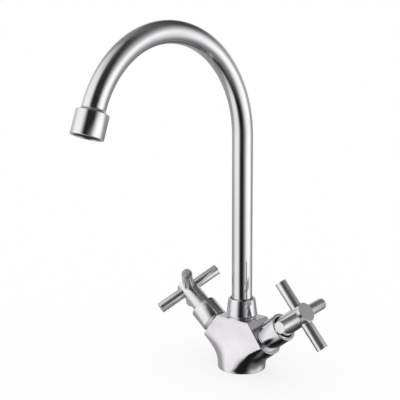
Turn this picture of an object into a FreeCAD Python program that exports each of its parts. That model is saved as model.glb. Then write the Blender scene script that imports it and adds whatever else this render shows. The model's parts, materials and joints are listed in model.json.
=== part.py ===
"""Two-handle kitchen mixer: one cast body, two quarter-turn valves with cross handles, and a
swivelling gooseneck spout with an aerator at its end.

Units are millimetres. The origin is the centre of the base on the deck, +Z is up, the spout
points along -Y, the hot valve leans out along -X and the cold valve along +X.
Each function makes one piece. Valve pieces are turned about a local Z that is the valve axis,
where 0 is the point in the body where the two valve axes cross. Outlet pieces are turned about
a local Z that runs out of the spout, where 0 is the end of the tube.
"""
import FreeCAD, Part
import math
import os

V = FreeCAD.Vector

# ---------------------------------------------------------------- fits
RUN_FIT = 0.05           # radial play of a piece that turns in its bearing
THREAD_FIT = 0.05        # radial play left where one thread takes another
SEAT_FIT = 0.05          # radial play of a piece that is pushed home and stays
FACE_FIT = 0.05          # axial play beside a face that slides
EDGE_BREAK = 0.4         # chamfer on the turned edges
PAST = 1.0               # how far a cutting solid runs past the face it opens
SINK = 0.5               # how far a fused solid reaches into the one that carries it
TOUCH = 0.01             # two levels or directions closer than this are the same

# ---------------------------------------------------------------- cast body
BASE_R = 26.1            # foot of the body on the deck
BODY_H = 57.1            # deck to the flat top
BODY_HALF_DEPTH = 16.9   # front and back faces, from the middle plane
FACE_CROWN = 0.15        # how far those faces swell in the middle
FACE_BLEND_H = 44.0      # height at which the round foot has become the flat face
CORNER_BLEND_H = 30.0    # height at which the corner line has its full slope
CORNER_SWEEP_R = 30.0    # bend of the corner line where it leaves the foot
FOOT_H = 1.0             # straight part of the foot, below the sweep
BASE_EDGE_R = 0.8        # rounding of the lower rim
SHOULDER_EDGE_R = 0.5    # rounding round the flat top and the two port faces
PORT_SWELL = 2.0         # round under side of each port, past those faces
PORT_FACE = 43.8         # port face, along the valve axis
VALVE_TILT = 37.5        # valve axes above the horizontal, degrees
VALVE_CROSS_H = 13.5     # height at which the valve axes cross
LOFT_STEPS = 9           # sections through the body
END_POINTS = 6           # points on the round end of a section, besides the first
GROOVE_MID_R = 22.6      # seal groove under the base
BASE_SEAL_W = 2.5        # its seal, of square section like the others

# ---------------------------------------------------------------- waterways and fixing
INLET_X = 9.5            # the two hose threads, each side of the middle
INLET_THREAD_R = 5.0     # M10 x 1
INLET_THREAD_DEPTH = 12.0
INLET_WAY_R = 3.5
STUD_Y = 13.5            # M8 fixing stud, behind the middle
STUD_THREAD_R = 4.0
STUD_THREAD_DEPTH = 14.0
MIX_R = 7.0              # chamber under the spout
MIX_FLOOR_H = 32.0
OUTLET_WAY_R = 3.0       # cored way from each valve to the chamber
OUTLET_WAY_H = 37.0
OUTLET_WAY_PAST = 5.0    # how far that way runs into the valve's bore

# ---------------------------------------------------------------- spout bearing
NECK_R = 13.0            # threaded neck on the body
NECK_H = 11.0
BARREL_R = 10.45         # part of the ferrule that turns in the body
BARREL_LENGTH = 26.0
FERRULE_WAY_R = 7.0
FERRULE_FLANGE_R = 12.8
FERRULE_FLANGE_T = 3.0
SLIDE_RING_T = 1.0
SPIGOT_LENGTH = 12.0     # ferrule inside the tube
SPOUT_SEAL_W = 1.9
SPOUT_SEAL_DROPS = (7.0, 18.0)   # middles of the seals, below the flange
BORE_SPARE = 2.0         # room under the ferrule's foot
COLLAR_FOOT_R = 16.9
COLLAR_TOP_R = 14.5
COLLAR_H = 20.2
COLLAR_MOUTH_R = 12.2
COLLAR_FOOT_EDGE_R = 1.6
COLLAR_TOP_EDGE = 0.9    # chamfer round the top
COLLAR_RAISE = 0.6       # step on the body that the collar stands on

# ---------------------------------------------------------------- spout tube
TUBE_R = 11.0
TUBE_WALL = 1.2
ARC_R = 104.5            # bend of the gooseneck, on its centre line
ARC_H = 253.1            # height of the bend's centre
ARC_SWEEP = 159.3        # degrees of bend, from the leg to the end of the tube
OUTLET_LEAN = 1.6        # the outlet leans this much further, and the tube is cut square to it

# ---------------------------------------------------------------- outlet
FLARE_R = 13.2
FLARE_LENGTH = 3.7
FLARE_HOLLOW = (0.36, 0.6)    # it has this share of its spread at this share of its length
OUTLET_SPIGOT_LENGTH = 2.4   # short, as the tube bends right up to its end
OUTLET_SPIGOT_EASE = 0.15    # how much thinner its tip is, for the same reason
OUTLET_SPIGOT_WALL = 1.0
OUTLET_THREAD_R = 12.0   # M24 x 1
OUTLET_THREAD_LENGTH = 8.6
HOUSING_R = 15.1
HOUSING_LENGTH = 22.5
HOUSING_CHAMBER_R = 13.2
HOUSING_LIP_R = 12.3
HOUSING_LIP_T = 1.2
OUTLET_WASHER_T = 2.0
OUTLET_WASHER_R = 9.5
SCREEN_T = 0.6
SCREEN_HOLE_W = 1.8
SCREEN_RINGS = ((1, 0.0), (5, 3.4), (10, 6.6))   # holes in each ring, and its radius
INSERT_WALL = 1.8
GRID_T = 2.0
GRID_RIB_T = 0.8
GRID_RIB_COUNT = 4            # ribs each way across the aerator
GRID_RECESS = 1.2        # grid above the lower rim of its cup

# ---------------------------------------------------------------- valve
SEAT_DEPTH = 17.8        # valve seat below the port face
PORT_THREAD_R = 10.3     # G 1/2, mean radius
SEAT_HOLE_R = 4.0
SEAT_SEAL_T = 2.2
DISC_R = 7.5
FIXED_DISC_T = 2.8
MOVING_DISC_T = 3.0
DISC_FILM = 0.02         # lapped faces of the two discs
DISC_PORT_IN_R = 2.2
DISC_PORT_OUT_R = 5.8
DISC_PORT_SPAN = 60.0    # width of an opening, degrees
TANG_W = 3.0
TANG_H = 1.4
DRIVER_T = 3.0           # wide foot of the stem
SKIRT_R = 9.2
SKIRT_RAISE = 1.2        # skirt's rim above the seat
SKIRT_LENGTH = 9.8
WINDOW_W = 8.0
WINDOW_H = 4.0
WINDOW_RAISE = 0.5       # window above the discs' sliding face
BONNET_FLANGE_R = 12.0
BONNET_FLANGE_T = 5.0
HEX_FLATS = 17.0
HEX_H = 6.0
BONNET_NECK_R = 7.5
BONNET_NECK_H = 5.2
BONNET_SEAL_W = 1.5
STEM_R = 4.45
STEM_SEAL_W = 1.5
STEM_SEAL_RISE = 6.0     # middle of the seal, above the stem's driver
SPLINE_R = 4.0
SPLINE_ROOT_R = 3.55
SPLINE_TOOTH_COUNT = 12
SPLINE_TOP = 84.0
SPLINE_SPARE = 0.5       # room above the stem in the hub
CLIP_T = 0.8
CLIP_R = 6.0
CLIP_ROOT_R = 3.4
CLIP_MOUTH = 60.0        # opening of the clip, degrees

# ---------------------------------------------------------------- carrier ring and sleeve
RING_R = 14.7
RING_END = 49.5          # shoulder that the sleeve stops on
RING_GROOVE_COUNT = 2
RING_GROOVE_D = 0.4
RING_GROOVE_W = 0.9
RING_SPIGOT_R = 13.5
RING_SPIGOT_LENGTH = 6.0
SLEEVE_R = 15.25
SLEEVE_END = 71.3
SLEEVE_MOUTH_R = 11.9
SLEEVE_LIP_T = 2.0

# ---------------------------------------------------------------- cross handle
HUB_R = 10.5
HUB_FOOT = 62.0
HUB_END = 107.5
ARM_R = 6.1
ARM_AXIS = 99.0          # crossing of the arms, along the valve axis
ARM_TIP = 39.8           # valve axis to the end of an arm
ARM_SEAT = 8.0           # flat floor of the arm's pocket, from the valve axis
ARM_STUD_R = 2.5
ARM_STUD_END = 3.6
ARM_COUNT = 4
SCREW_R = 2.0
SCREW_AXIS = 76.5
SCREW_HEAD = 9.2
SCREW_KEY_R = 1.1
SCREW_KEY_DEPTH = 1.8

# side name, half turn that carries the cold side onto this one, turn of the handle on its
# splines, and the gap between arms (counted from the first) that holds the set screw
SIDES = (("left", 180.0, 52.5, 1), ("right", 0.0, 5.7, 3))

# ---------------------------------------------------------------- derived sizes
TILT_COS = math.cos(math.radians(VALVE_TILT))
TILT_SIN = math.sin(math.radians(VALVE_TILT))
PORT_R = BODY_HALF_DEPTH + PORT_SWELL
COLLAR_SEAT_H = BODY_H + COLLAR_RAISE
NECK_TOP_H = BODY_H + NECK_H
FLANGE_H = NECK_TOP_H + SLIDE_RING_T
TUBE_FOOT_H = FLANGE_H + FERRULE_FLANGE_T
RETAINER_H = TUBE_FOOT_H + SLIDE_RING_T
SPOUT_BORE_R = BARREL_R + RUN_FIT
SPOUT_BORE_FLOOR_H = FLANGE_H - BARREL_LENGTH - BORE_SPARE
TUBE_BORE_R = TUBE_R - TUBE_WALL
TUBE_END = V(0, ARC_R * (math.cos(math.radians(ARC_SWEEP)) - 1.0),
             ARC_H + ARC_R * math.sin(math.radians(ARC_SWEEP)))
SEAT = PORT_FACE - SEAT_DEPTH
FIXED_DISC = SEAT + SEAT_SEAL_T
DISC_FACE = FIXED_DISC + FIXED_DISC_T
DRIVER = DISC_FACE + DISC_FILM + MOVING_DISC_T
STEM_SHOULDER = DRIVER + DRIVER_T
SKIRT_FOOT = SEAT + SKIRT_RAISE
SKIRT_TOP = SKIRT_FOOT + SKIRT_LENGTH
FLANGE_TOP = PORT_FACE + BONNET_FLANGE_T
HEX_TOP = FLANGE_TOP + HEX_H
NECK_TOP = HEX_TOP + BONNET_NECK_H
STEM_BORE_R = STEM_R + RUN_FIT
RING_SPIGOT_END = RING_END + RING_SPIGOT_LENGTH
HOUSING_END = FLARE_LENGTH + HOUSING_LENGTH
OUTLET_THREAD_END = FLARE_LENGTH + OUTLET_THREAD_LENGTH
WASHER_END = OUTLET_THREAD_END + OUTLET_WASHER_T
INSERT_R = HOUSING_CHAMBER_R - SEAT_FIT
INSERT_TOP = WASHER_END + SCREEN_T
INSERT_END = HOUSING_END - HOUSING_LIP_T


# ================================================================ helpers
def turned(start, *steps):
    """Solid turned about Z from a closed outline of (radius, height) points.
    A step that holds two points is an arc through the first one to the second."""
    edges = []
    here = V(start[0], 0, start[1])
    for step in steps + (start,):
        if isinstance(step[0], tuple):
            through, end = (V(r, 0, z) for r, z in step)
            edges.append(Part.Arc(here, through, end).toShape())
        else:
            end = V(step[0], 0, step[1])
            edges.append(Part.LineSegment(here, end).toShape())
        here = end
    return Part.Face(Part.Wire(edges)).revolve(V(0, 0, 0), V(0, 0, 1), 360)


def ring(inner, outer, low, high):
    """Plain ring."""
    return turned((inner, low), (outer, low), (outer, high), (inner, high))


def rod(radius, low, high):
    """Plain rod on Z."""
    return Part.makeCylinder(radius, high - low, V(0, 0, low))


def seal_groove(root_r, face_r, middle, width):
    """Cutter for a groove round a shaft of radius 'face_r', a fit wider than its seal."""
    half = width / 2 + SEAT_FIT
    return ring(root_r, face_r + PAST, middle - half, middle + half)


def seal_ring(root_r, width, middle):
    """Seal of square section that sits on 'root_r'."""
    return ring(root_r, root_r + width, middle - width / 2, middle + width / 2)


def corner_arc(centre, radius, degrees):
    """Point on a quarter round, for an arc step of turned()."""
    a = math.radians(degrees)
    return (centre[0] + radius * math.cos(a), centre[1] + radius * math.sin(a))


def box_on(width_x, width_y, low, high):
    """Box on Z, centred across it."""
    return Part.makeBox(width_x, width_y, high - low, V(-width_x / 2, -width_y / 2, low))


def prism(points, low, high):
    """Straight prism along Z."""
    outline = [V(x, y, low) for x, y in points]
    return Part.Face(Part.makePolygon(outline + outline[:1])).extrude(V(0, 0, high - low))


def polar(radius, degrees):
    a = math.radians(degrees)
    return (radius * math.cos(a), radius * math.sin(a))


def on_valve(shape, half_turn, turn=0.0):
    """Set a piece made on Z onto a valve axis: local X then points to the back of the cold
    side, and the piece is first turned about its own axis."""
    spin = FreeCAD.Rotation(V(0, 0, 1), turn)
    lean = FreeCAD.Rotation(V(0, 1, 0), V(-TILT_SIN, 0, TILT_COS), V(TILT_COS, 0, TILT_SIN), "ZXY")
    side = FreeCAD.Rotation(V(0, 0, 1), half_turn)
    axis = FreeCAD.Placement(V(0, 0, VALVE_CROSS_H), side.multiply(lean).multiply(spin))
    placed = shape.copy()
    placed.Placement = axis.multiply(shape.Placement)
    return placed


def on_outlet(shape):
    """Set a piece made on Z onto the end of the spout."""
    outlet = FreeCAD.Placement(TUBE_END, FreeCAD.Rotation(V(1, 0, 0), ARC_SWEEP + OUTLET_LEAN))
    placed = shape.copy()
    placed.Placement = outlet.multiply(shape.Placement)
    return placed


# ================================================================ body
def sweep_out(start, slope_x, height, radius):
    """Half width of an outline that rises straight up at 'start', bends through 'radius' and
    then follows the port's slope, which passes through (slope_x, 0)."""
    turn = math.radians(90.0 - VALVE_TILT)
    corner_h = (start - slope_x) * TILT_SIN / TILT_COS
    low = corner_h - radius * math.tan(turn / 2)
    high = low + radius * math.sin(turn)
    if height <= low:
        return start
    if height < high:
        return start + radius - math.sqrt(radius ** 2 - (height - low) ** 2)
    return slope_x + height * TILT_COS / TILT_SIN


def sweep_radius(start, slope_x, low):
    """Bend that carries such an outline from height 'low' onto the slope."""
    corner_h = (start - slope_x) * TILT_SIN / TILT_COS
    return (corner_h - low) / math.tan(math.radians(90.0 - VALVE_TILT) / 2)


def eased(height, top):
    """0 at the deck, 1 at 'top', level at both ends."""
    t = min(height / top, 1.0)
    return 0.5 - 0.5 * math.cos(math.pi * t)


def body_section(height):
    """Outline of the body at one height: crowned front and back faces, and ends that go from
    the round of the foot to the slanted round of the ports."""
    foot_corner = BASE_R * math.sqrt(0.5)
    corner_drop = math.sqrt(PORT_R ** 2 - BODY_HALF_DEPTH ** 2)
    corner_slope = (corner_drop - VALVE_CROSS_H * TILT_COS) / TILT_SIN
    under_slope = (PORT_R - VALVE_CROSS_H * TILT_COS) / TILT_SIN
    under_bend = sweep_radius(BASE_R, under_slope, FOOT_H)
    half_width = sweep_out(foot_corner, corner_slope, height, CORNER_SWEEP_R)
    reach = sweep_out(BASE_R, under_slope, height, under_bend)
    blend = eased(height, CORNER_BLEND_H)
    half_depth = foot_corner + (BODY_HALF_DEPTH - foot_corner) * blend
    end_depth = BASE_R + (PORT_R - BASE_R) * blend
    swell = BASE_R + (BODY_HALF_DEPTH + FACE_CROWN - BASE_R) * eased(height, FACE_BLEND_H)
    front = Part.Arc(V(-half_width, -half_depth, height), V(0, -swell, height),
                     V(half_width, -half_depth, height)).toShape()
    half_angle = math.asin(half_depth / end_depth)
    end_length = (reach - half_width) / (1 - math.cos(half_angle))
    points = []
    for i in range(END_POINTS + 1):
        a = half_angle * (2.0 * i / END_POINTS - 1)
        points.append(V(reach - end_length * (1 - math.cos(a)), end_depth * math.sin(a), height))
    end = Part.BSplineCurve()
    end.interpolate(points)
    end = end.toShape()
    centre = V(0, 0, height)
    about = V(0, 0, 1)
    return Part.Wire([front, end, front.rotated(centre, about, 180), end.rotated(centre, about, 180)])


def body_casting():
    """Outer form of the body: a loft from the round foot to the wide shoulders, with the two
    port faces cut square to the valve axes and every rim rounded."""
    heights = [BODY_H * i / LOFT_STEPS for i in range(LOFT_STEPS + 1)]
    casting = Part.makeLoft([body_section(h) for h in heights], True, False)
    off_cut = box_on(4 * PORT_FACE, 4 * PORT_FACE, PORT_FACE, 3 * PORT_FACE)
    for _, half_turn, _, _ in SIDES:
        casting = casting.cut(on_valve(off_cut, half_turn))
    foot_rim = [e for e in casting.Edges if e.BoundBox.ZMax < TOUCH]
    casting = casting.makeFillet(BASE_EDGE_R, foot_rim)
    return casting.makeFillet(SHOULDER_EDGE_R, shoulder_edges(casting))


def shoulder_edges(casting):
    """Edges of the flat top and of the two port faces."""
    edges = []
    for face in casting.Faces:
        normal = face.normalAt(0, 0)
        level = face.CenterOfMass.z
        is_top = normal.z > 1 - TOUCH and level > BODY_H - TOUCH
        is_port = abs(normal.y) < TOUCH and abs(normal.z - TILT_SIN) < TOUCH and level > VALVE_CROSS_H
        if isinstance(face.Surface, Part.Plane) and (is_top or is_port):
            edges += [e for e in face.Edges if not any(e.isSame(known) for known in edges)]
    return edges


def mixer_body():
    """Casting with its neck, bores, cored waterways and the threads under the base."""
    body = body_casting()
    sunk_h = BODY_H - PAST
    body = body.fuse(rod(COLLAR_FOOT_R - COLLAR_FOOT_EDGE_R, sunk_h, COLLAR_SEAT_H))
    body = body.fuse(turned((0, sunk_h), (NECK_R, sunk_h), (NECK_R, NECK_TOP_H - EDGE_BREAK),
                            (NECK_R - EDGE_BREAK, NECK_TOP_H), (0, NECK_TOP_H)))
    cuts = [rod(SPOUT_BORE_R, SPOUT_BORE_FLOOR_H, NECK_TOP_H + PAST)]
    cuts.append(rod(MIX_R, MIX_FLOOR_H, SPOUT_BORE_FLOOR_H + PAST))
    groove_half = BASE_SEAL_W / 2 + SEAT_FIT
    cuts.append(ring(GROOVE_MID_R - groove_half, GROOVE_MID_R + groove_half, -PAST, BASE_SEAL_W))
    stud = rod(STUD_THREAD_R, -PAST, STUD_THREAD_DEPTH)
    cuts.append(stud.translated(V(0, STUD_Y, 0)))
    for _, half_turn, _, _ in SIDES:
        cuts += valve_cuts(half_turn)
    for cut in cuts:
        body = body.cut(cut)
    return body.removeSplitter()


def valve_cuts(half_turn):
    """Cutters for one side: bore with the seal's counterbore, seat hole, hose thread, the way
    up from it, and the way across to the chamber."""
    bore = rod(PORT_THREAD_R, SEAT, PORT_FACE + PAST)
    counterbore_r = PORT_THREAD_R + BONNET_SEAL_W + SEAT_FIT
    counterbore = rod(counterbore_r, PORT_FACE - BONNET_SEAL_W, PORT_FACE + PAST)
    seat_hole = rod(SEAT_HOLE_R, INLET_X / TILT_COS, SEAT + PAST)
    cuts = [on_valve(cut, half_turn) for cut in (bore, counterbore, seat_hole)]
    side = 1 if half_turn == 0 else -1
    inlet = V(side * INLET_X, 0, 0)
    way_top = VALVE_CROSS_H + INLET_X * TILT_SIN / TILT_COS
    cuts.append(rod(INLET_THREAD_R, -PAST, INLET_THREAD_DEPTH).translated(inlet))
    cuts.append(rod(INLET_WAY_R, 0, way_top).translated(inlet))
    bore_wall_x = (OUTLET_WAY_H - VALVE_CROSS_H) * TILT_COS / TILT_SIN - PORT_THREAD_R / TILT_SIN
    cuts.append(Part.makeCylinder(OUTLET_WAY_R, bore_wall_x + OUTLET_WAY_PAST,
                                  V(0, 0, OUTLET_WAY_H), V(side, 0, 0)))
    return cuts


def base_seal():
    """Seal in the groove under the base, level with the deck."""
    return seal_ring(GROOVE_MID_R - BASE_SEAL_W / 2, BASE_SEAL_W, BASE_SEAL_W / 2)


# ================================================================ spout bearing
def spout_ferrule():
    """Turned foot of the spout: sealed barrel in the body, flange, and spigot in the tube."""
    foot_h = FLANGE_H - BARREL_LENGTH
    spigot_r = TUBE_BORE_R - SEAT_FIT
    spigot_top = TUBE_FOOT_H + SPIGOT_LENGTH
    body = turned((FERRULE_WAY_R, foot_h), (BARREL_R - EDGE_BREAK, foot_h),
                  (BARREL_R, foot_h + EDGE_BREAK), (BARREL_R, FLANGE_H),
                  (FERRULE_FLANGE_R, FLANGE_H), (FERRULE_FLANGE_R, TUBE_FOOT_H),
                  (spigot_r, TUBE_FOOT_H), (spigot_r, spigot_top), (FERRULE_WAY_R, spigot_top))
    for drop in SPOUT_SEAL_DROPS:
        body = body.cut(seal_groove(BARREL_R - SPOUT_SEAL_W, BARREL_R, FLANGE_H - drop, SPOUT_SEAL_W))
    return body


def spout_seals():
    """The two seals on the barrel, level with it."""
    seals = []
    for drop in SPOUT_SEAL_DROPS:
        seals.append(seal_ring(BARREL_R - SPOUT_SEAL_W, SPOUT_SEAL_W, FLANGE_H - drop))
    return Part.makeCompound(seals)


def lower_slide_ring():
    """Plastic ring between the neck and the ferrule's flange."""
    return ring(BARREL_R + RUN_FIT, FERRULE_FLANGE_R, NECK_TOP_H, FLANGE_H - FACE_FIT)


def upper_slide_ring():
    """Plastic ring between the flange and the collar."""
    return ring(TUBE_R + RUN_FIT, NECK_R - SEAT_FIT, TUBE_FOOT_H + FACE_FIT, RETAINER_H)


def spout_collar():
    """Conical nut that holds the spout down: rounded foot and rim, thread on the neck, and a
    mouth wider than the tube."""
    top_h = COLLAR_SEAT_H + COLLAR_H
    lean = math.degrees(math.atan((COLLAR_FOOT_R - COLLAR_TOP_R) / COLLAR_H))
    foot = (COLLAR_FOOT_R - COLLAR_FOOT_EDGE_R, COLLAR_SEAT_H + COLLAR_FOOT_EDGE_R)
    thread_r = NECK_R + THREAD_FIT
    return turned((thread_r, COLLAR_SEAT_H), (foot[0], COLLAR_SEAT_H),
                  (corner_arc(foot, COLLAR_FOOT_EDGE_R, -45), corner_arc(foot, COLLAR_FOOT_EDGE_R, lean)),
                  (COLLAR_TOP_R, top_h - COLLAR_TOP_EDGE), (COLLAR_TOP_R - COLLAR_TOP_EDGE, top_h),
                  (COLLAR_MOUTH_R + EDGE_BREAK, top_h), (COLLAR_MOUTH_R, top_h - EDGE_BREAK),
                  (COLLAR_MOUTH_R, RETAINER_H), (thread_r, RETAINER_H))


def spout_tube():
    """Gooseneck: a straight leg and one bend, drawn from one tube and cut to length."""
    def gooseneck(radius):
        leg = rod(radius, TUBE_FOOT_H, ARC_H)
        disc = Part.Face(Part.Wire(Part.makeCircle(radius, V(0, 0, ARC_H))))
        bend = disc.revolve(V(0, -ARC_R, ARC_H), V(1, 0, 0), ARC_SWEEP + OUTLET_LEAN)
        return leg.fuse(bend)
    tube = gooseneck(TUBE_R).cut(gooseneck(TUBE_BORE_R)).removeSplitter()
    return tube.cut(on_outlet(rod(2 * TUBE_R, 0, 2 * TUBE_R)))


# ================================================================ outlet
def aerator_adaptor():
    """Flared piece brazed into the end of the tube, with the thread for the housing."""
    spigot_r = TUBE_BORE_R - SEAT_FIT
    way_r = spigot_r - OUTLET_SPIGOT_WALL
    thread_r = OUTLET_THREAD_R - THREAD_FIT
    spread, along = FLARE_HOLLOW
    hollow = (TUBE_R + spread * (FLARE_R - TUBE_R), along * FLARE_LENGTH)
    body = turned((way_r, -OUTLET_SPIGOT_LENGTH),
                  (spigot_r - OUTLET_SPIGOT_EASE, -OUTLET_SPIGOT_LENGTH), (spigot_r, 0),
                  (TUBE_R, 0), (hollow, (FLARE_R, FLARE_LENGTH)), (thread_r, FLARE_LENGTH),
                  (thread_r, OUTLET_THREAD_END), (way_r, OUTLET_THREAD_END))
    return on_outlet(body)


def aerator_housing():
    """Plain cylinder that screws onto the adaptor and holds the aerator."""
    top = FLARE_LENGTH
    end = HOUSING_END
    body = turned((OUTLET_THREAD_R, top), (HOUSING_R - EDGE_BREAK, top),
                  (HOUSING_R, top + EDGE_BREAK), (HOUSING_R, end - EDGE_BREAK),
                  (HOUSING_R - EDGE_BREAK, end), (HOUSING_LIP_R + EDGE_BREAK, end),
                  (HOUSING_LIP_R, end - EDGE_BREAK), (HOUSING_LIP_R, INSERT_END),
                  (HOUSING_CHAMBER_R, INSERT_END), (HOUSING_CHAMBER_R, OUTLET_THREAD_END),
                  (OUTLET_THREAD_R, OUTLET_THREAD_END))
    return on_outlet(body)


def aerator_washer():
    """Flat rubber washer under the adaptor."""
    return on_outlet(ring(OUTLET_WASHER_R, INSERT_R, OUTLET_THREAD_END, WASHER_END))


def aerator_screen():
    """Thin sieve over the aerator, with rings of square holes."""
    plate = rod(INSERT_R, WASHER_END, INSERT_TOP)
    hole = box_on(SCREEN_HOLE_W, SCREEN_HOLE_W, WASHER_END - PAST, INSERT_TOP + PAST)
    for count, radius in SCREEN_RINGS:
        for i in range(count):
            plate = plate.cut(across_ring(hole, radius, 360.0 * i / count))
    return on_outlet(plate)


def across_ring(shape, radius, degrees):
    """Set a piece made on Z at a radius and an angle round Z."""
    return shape.translated(V(radius, 0, 0)).rotated(V(0, 0, 0), V(0, 0, 1), degrees)


def aerator_insert():
    """Plastic cup with an open grid across its lower end."""
    grid_end = INSERT_END - GRID_RECESS
    cup_r = INSERT_R - INSERT_WALL
    insert = ring(cup_r, INSERT_R, INSERT_TOP, INSERT_END)
    pitch = 2 * cup_r / (GRID_RIB_COUNT + 1)
    reach = cup_r + INSERT_WALL / 2
    for i in range(GRID_RIB_COUNT):
        offset = -cup_r + pitch * (i + 1)
        half = math.sqrt(reach ** 2 - offset ** 2)
        rib = box_on(2 * half, GRID_RIB_T, grid_end - GRID_T, grid_end).translated(V(0, offset, 0))
        insert = insert.fuse(rib).fuse(rib.rotated(V(0, 0, 0), V(0, 0, 1), 90))
    return on_outlet(insert.removeSplitter())


# ================================================================ valve
def seat_seal():
    """Rubber ring that presses the discs up and seals the seat."""
    return ring(SEAT_HOLE_R, DISC_R, SEAT, FIXED_DISC)


def disc_ports(low, high):
    """Two opposite openings through a disc."""
    half = DISC_PORT_SPAN / 2
    port = prism([polar(DISC_PORT_OUT_R, -half), polar(DISC_PORT_OUT_R, half),
                  polar(DISC_PORT_IN_R, half), polar(DISC_PORT_IN_R, -half)], low - PAST, high + PAST)
    return port.fuse(port.rotated(V(0, 0, 0), V(0, 0, 1), 180))


def fixed_disc():
    """Lower ceramic disc, held still by the bonnet's skirt."""
    return rod(DISC_R, FIXED_DISC, DISC_FACE).cut(disc_ports(FIXED_DISC, DISC_FACE))


def moving_disc():
    """Upper ceramic disc: shut at rest, a quarter turn from the lower one's ports, with a slot
    on top for the stem's tang."""
    low = DISC_FACE + DISC_FILM
    ports = disc_ports(low, DRIVER).rotated(V(0, 0, 0), V(0, 0, 1), 90)
    slot = box_on(3 * DISC_R, TANG_W + 2 * SEAT_FIT, DRIVER - TANG_H - SEAT_FIT, DRIVER + PAST)
    return rod(DISC_R, low, DRIVER).cut(ports).cut(slot)


def bonnet():
    """Valve housing: windowed skirt round the discs, thread, flange, spanner hexagon and the
    neck that guides the stem."""
    cavity_r = DISC_R + RUN_FIT
    thread_r = PORT_THREAD_R - THREAD_FIT
    flange_r = BONNET_FLANGE_R - THREAD_FIT
    shell = turned((cavity_r, SKIRT_FOOT), (SKIRT_R, SKIRT_FOOT), (SKIRT_R, SKIRT_TOP),
                   (thread_r, SKIRT_TOP), (thread_r, PORT_FACE), (flange_r, PORT_FACE),
                   (flange_r, FLANGE_TOP), (BONNET_NECK_R, FLANGE_TOP), (BONNET_NECK_R, NECK_TOP),
                   (STEM_BORE_R, NECK_TOP), (STEM_BORE_R, STEM_SHOULDER + FACE_FIT),
                   (cavity_r, STEM_SHOULDER + FACE_FIT))
    corner_r = HEX_FLATS / 2 / math.cos(math.radians(30))
    hexagon = prism([polar(corner_r, 60 * i) for i in range(6)], FLANGE_TOP, HEX_TOP)
    shell = shell.fuse(hexagon.cut(rod(BONNET_NECK_R - SINK, FLANGE_TOP - PAST, HEX_TOP + PAST)))
    window_low = DISC_FACE + WINDOW_RAISE
    window = box_on(3 * SKIRT_R, WINDOW_W, window_low, window_low + WINDOW_H)
    return shell.cut(window).removeSplitter()


def bonnet_seal():
    """Seal in the counterbore of the port, under the bonnet's flange."""
    return seal_ring(PORT_THREAD_R, BONNET_SEAL_W, PORT_FACE - BONNET_SEAL_W / 2)


def stem(turn):
    """Stem: tang in the moving disc, wide driver, sealed journal, clip groove, and splines that
    stand as the hub on them is turned."""
    clip_h = NECK_TOP + FACE_FIT
    body = rod(DISC_R, DRIVER, STEM_SHOULDER).fuse(rod(STEM_R, STEM_SHOULDER, clip_h))
    body = body.cut(seal_groove(STEM_R - STEM_SEAL_W, STEM_R, STEM_SHOULDER + STEM_SEAL_RISE, STEM_SEAL_W))
    tang = box_on(3 * DISC_R, TANG_W, DRIVER - TANG_H, DRIVER + SINK)
    tang = tang.common(rod(DISC_R, DRIVER - TANG_H, DRIVER + SINK))
    groove_end = clip_h + CLIP_T + SEAT_FIT
    root = rod(CLIP_ROOT_R, clip_h - SINK, groove_end + SINK)
    teeth = spline(0.0, groove_end, SPLINE_TOP).rotated(V(0, 0, 0), V(0, 0, 1), turn)
    return body.fuse(tang).fuse(root).fuse(teeth).removeSplitter()


def spline(grow, low, high):
    """Toothed rod, or with 'grow' the broached hole that takes it."""
    points = []
    for i in range(SPLINE_TOOTH_COUNT):
        points.append(polar(SPLINE_R + grow, 360.0 * i / SPLINE_TOOTH_COUNT))
        points.append(polar(SPLINE_ROOT_R + grow, 360.0 * (i + 0.5) / SPLINE_TOOTH_COUNT))
    return prism(points, low, high)


def stem_seal():
    """Seal on the stem's journal, level with it."""
    return seal_ring(STEM_R - STEM_SEAL_W, STEM_SEAL_W, STEM_SHOULDER + STEM_SEAL_RISE)


def stem_clip():
    """Open clip that keeps the stem from sinking into the bonnet."""
    low = NECK_TOP + FACE_FIT
    high = low + CLIP_T
    half = CLIP_MOUTH / 2
    mouth = prism([(0, 0), polar(3 * CLIP_R, -half), polar(3 * CLIP_R, half)], low - PAST, high + PAST)
    return ring(CLIP_ROOT_R + SEAT_FIT, CLIP_R, low, high).cut(mouth)


def carrier_ring():
    """Chromed ring screwed down on the bonnet's flange: it shows between body and sleeve, and
    carries the sleeve on its threaded spigot. Two fine V grooves run round it."""
    outline = [(BONNET_FLANGE_R, PORT_FACE), (RING_R, PORT_FACE)]
    pitch = (RING_END - PORT_FACE) / (RING_GROOVE_COUNT + 1)
    for i in range(RING_GROOVE_COUNT):
        middle = PORT_FACE + pitch * (i + 1)
        outline.append((RING_R, middle - RING_GROOVE_W / 2))
        outline.append((RING_R - RING_GROOVE_D, middle))
        outline.append((RING_R, middle + RING_GROOVE_W / 2))
    outline += [(RING_R, RING_END), (RING_SPIGOT_R, RING_END), (RING_SPIGOT_R, RING_SPIGOT_END),
                (BONNET_FLANGE_R, RING_SPIGOT_END)]
    return turned(*outline)


def sleeve():
    """Cylindrical shroud over the bonnet, with a lipped mouth round the hub."""
    thread_r = RING_SPIGOT_R + THREAD_FIT
    lip = SLEEVE_END - SLEEVE_LIP_T
    return turned((thread_r, RING_END), (SLEEVE_R - EDGE_BREAK, RING_END),
                  (SLEEVE_R, RING_END + EDGE_BREAK), (SLEEVE_R, SLEEVE_END - EDGE_BREAK),
                  (SLEEVE_R - EDGE_BREAK, SLEEVE_END),
                  (SLEEVE_MOUTH_R + EDGE_BREAK, SLEEVE_END), (SLEEVE_MOUTH_R, SLEEVE_END - EDGE_BREAK),
                  (SLEEVE_MOUTH_R, lip), (thread_r, lip))


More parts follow.
